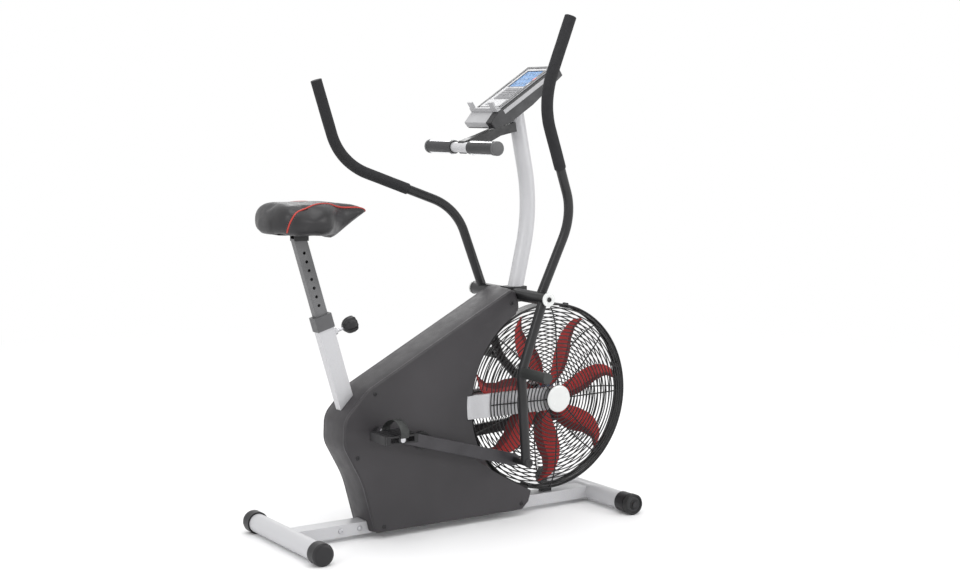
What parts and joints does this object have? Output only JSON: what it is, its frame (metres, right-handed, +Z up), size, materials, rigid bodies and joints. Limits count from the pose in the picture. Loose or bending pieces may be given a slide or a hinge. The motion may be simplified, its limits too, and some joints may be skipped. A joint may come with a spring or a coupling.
{
  "type": "air bike",
  "caption": "Upright exercise air bike: a caged bladed fan driven by a crank and belt, rocking handles linked to the pedals, a height-adjustable saddle and a console.",
  "frame": {"origin": "on the floor, under the middle of the machine's bounding box", "axes": "+X forward to the fan, +Y to the rider's left, +Z up"},
  "size_m": [1.128, 0.554, 1.3576],
  "materials": {
    "silver_paint": "satin",
    "black_plastic": "matte",
    "black_steel": "satin",
    "wheel_rubber": "matte",
    "charcoal_plastic": "satin",
    "grey_steel": "satin",
    "bright_steel": "satin",
    "white_plastic": "gloss",
    "belt_rubber": "matte",
    "red_plastic": "satin",
    "blue_grey_plastic": "satin",
    "vinyl": "satin",
    "foam": "matte",
    "silver_plastic": "satin",
    "dark_plastic": "satin",
    "display": "gloss",
    "red_button": "gloss"
  },
  "bodies": {
    "frame": {"console_bezel": "silver_plastic", "console_bracket": "black_steel", "console_housing": "dark_plastic", "console_lens": "display", "cover_screws": "black_steel", "crank_bearings": "bright_steel", "drive_belt": "belt_rubber", "fan_axle": "bright_steel", "fan_fork": "silver_paint", "frame_bolts": "black_steel", "front_foot_tube": "silver_paint", "guard_left": "black_steel", "guard_right": "black_steel", "head_block": "black_steel", "hub_caps": "white_plastic", "inner_frame": "silver_paint", "left_side_cover": "charcoal_plastic", "main_beam": "silver_paint", "mast": "silver_paint", "pivot_axle": "bright_steel", "pivot_washers": "white_plastic", "pulse_bar": "silver_paint", "pulse_grips": "dark_plastic", "reading_rack": "silver_plastic", "rear_beam": "silver_paint", "rear_foot_caps": "black_plastic", "rear_foot_tube": "silver_paint", "right_side_cover": "charcoal_plastic", "rim_band": "black_steel", "seat_bushing": "black_plastic", "seat_tube": "silver_paint", "spine_cover": "charcoal_plastic", "wheel_collars": "black_plastic"},
    "crank": {"crank_axle": "bright_steel", "crank_pulley": "black_plastic", "crank_arms": "black_steel", "pedal_spindles": "bright_steel"},
    "fan": {"fan_hub": "blue_grey_plastic", "fan_blades": "red_plastic", "fan_pulley": "black_plastic"},
    "right_pedal": {"right_pedal": "black_plastic"},
    "left_pedal": {"left_pedal": "black_plastic"},
    "right_link": {"right_link": "black_steel"},
    "left_link": {"left_link": "black_steel"},
    "right_arm": {"right_arm": "black_steel", "right_grip": "foam", "right_foot_peg": "wheel_rubber"},
    "left_arm": {"left_arm": "black_steel", "left_grip": "foam", "left_foot_peg": "wheel_rubber"},
    "seat": {"seat_post": "grey_steel", "saddle_clamp": "black_steel", "saddle_pan": "black_plastic", "saddle_pad": "vinyl"},
    "pull_pin": {"seat_pin": "bright_steel", "seat_knob": "black_plastic"},
    "right_wheel": {"transport_wheel_right": "wheel_rubber"},
    "left_wheel": {"transport_wheel_left": "wheel_rubber"},
    "mode_button": {"console_button_1": "silver_plastic"},
    "reset_button": {"console_button_2": "red_button"}
  },
  "joints": [
    {"name": "crank_turn", "type": "hinge", "parent": "frame", "child": "crank", "pos_m": [-0.143, 0, 0.251], "axis": [0, 1, 0], "continuous": true},
    {"name": "fan_spin", "type": "hinge", "parent": "frame", "child": "fan", "pos_m": [0.3023, 0, 0.3169], "axis": [0, 1, 0], "continuous": true},
    {"name": "right_pedal_spin", "type": "hinge", "parent": "crank", "child": "right_pedal", "pos_m": [-0.27979, -0.157, 0.29057], "axis": [0, 1, 0], "continuous": true},
    {"name": "left_pedal_spin", "type": "hinge", "parent": "crank", "child": "left_pedal", "pos_m": [-0.00621, 0.157, 0.21143], "axis": [0, 1, 0], "continuous": true},
    {"name": "right_link_turn", "type": "hinge", "parent": "crank", "child": "right_link", "pos_m": [-0.27979, -0.098, 0.29057], "axis": [0, 1, 0], "continuous": true},
    {"name": "left_link_turn", "type": "hinge", "parent": "crank", "child": "left_link", "pos_m": [-0.00621, 0.098, 0.21143], "axis": [0, 1, 0], "continuous": true},
    {"name": "right_arm_rock", "type": "hinge", "parent": "frame", "child": "right_arm", "pos_m": [0.183, -0.1, 0.6126], "axis": [0, 1, 0], "range_deg": [-39.06, 0]},
    {"name": "left_arm_rock", "type": "hinge", "parent": "frame", "child": "left_arm", "pos_m": [0.183, 0.1, 0.6126], "axis": [0, 1, 0], "range_deg": [0, 39.06]},
    {"name": "seat_height", "type": "slide", "parent": "frame", "child": "seat", "axis": [-0.2823, 0, 0.9593], "range_m": [-0.1416, 0.0944]},
    {"name": "pin_pull", "type": "slide", "parent": "frame", "child": "pull_pin", "axis": [0.9593, 0, 0.2823], "range_m": [0, 0.01], "stiffness_N_per_m": 800, "springref_m": -0.001},
    {"name": "right_wheel_roll", "type": "hinge", "parent": "frame", "child": "right_wheel", "pos_m": [0.45, -0.209, 0.0285], "axis": [0, 1, 0], "continuous": true},
    {"name": "left_wheel_roll", "type": "hinge", "parent": "frame", "child": "left_wheel", "pos_m": [0.45, 0.209, 0.0285], "axis": [0, 1, 0], "continuous": true},
    {"name": "mode_press", "type": "slide", "parent": "frame", "child": "mode_button", "axis": [0.5446, 0, -0.8387], "range_m": [0, 0.0015], "stiffness_N_per_m": 300},
    {"name": "reset_press", "type": "slide", "parent": "frame", "child": "reset_button", "axis": [0.5446, 0, -0.8387], "range_m": [0, 0.0015], "stiffness_N_per_m": 300}
  ],
  "couplings": [
    {"joint": "fan_spin", "follows": "crank_turn", "ratio": 3.6},
    {"joint": "right_link_turn", "follows": "crank_turn", "ratio": -1},
    {"joint": "left_link_turn", "follows": "crank_turn", "ratio": -1},
    {"joint": "left_arm_rock", "follows": "right_arm_rock", "ratio": -1}
  ]
}
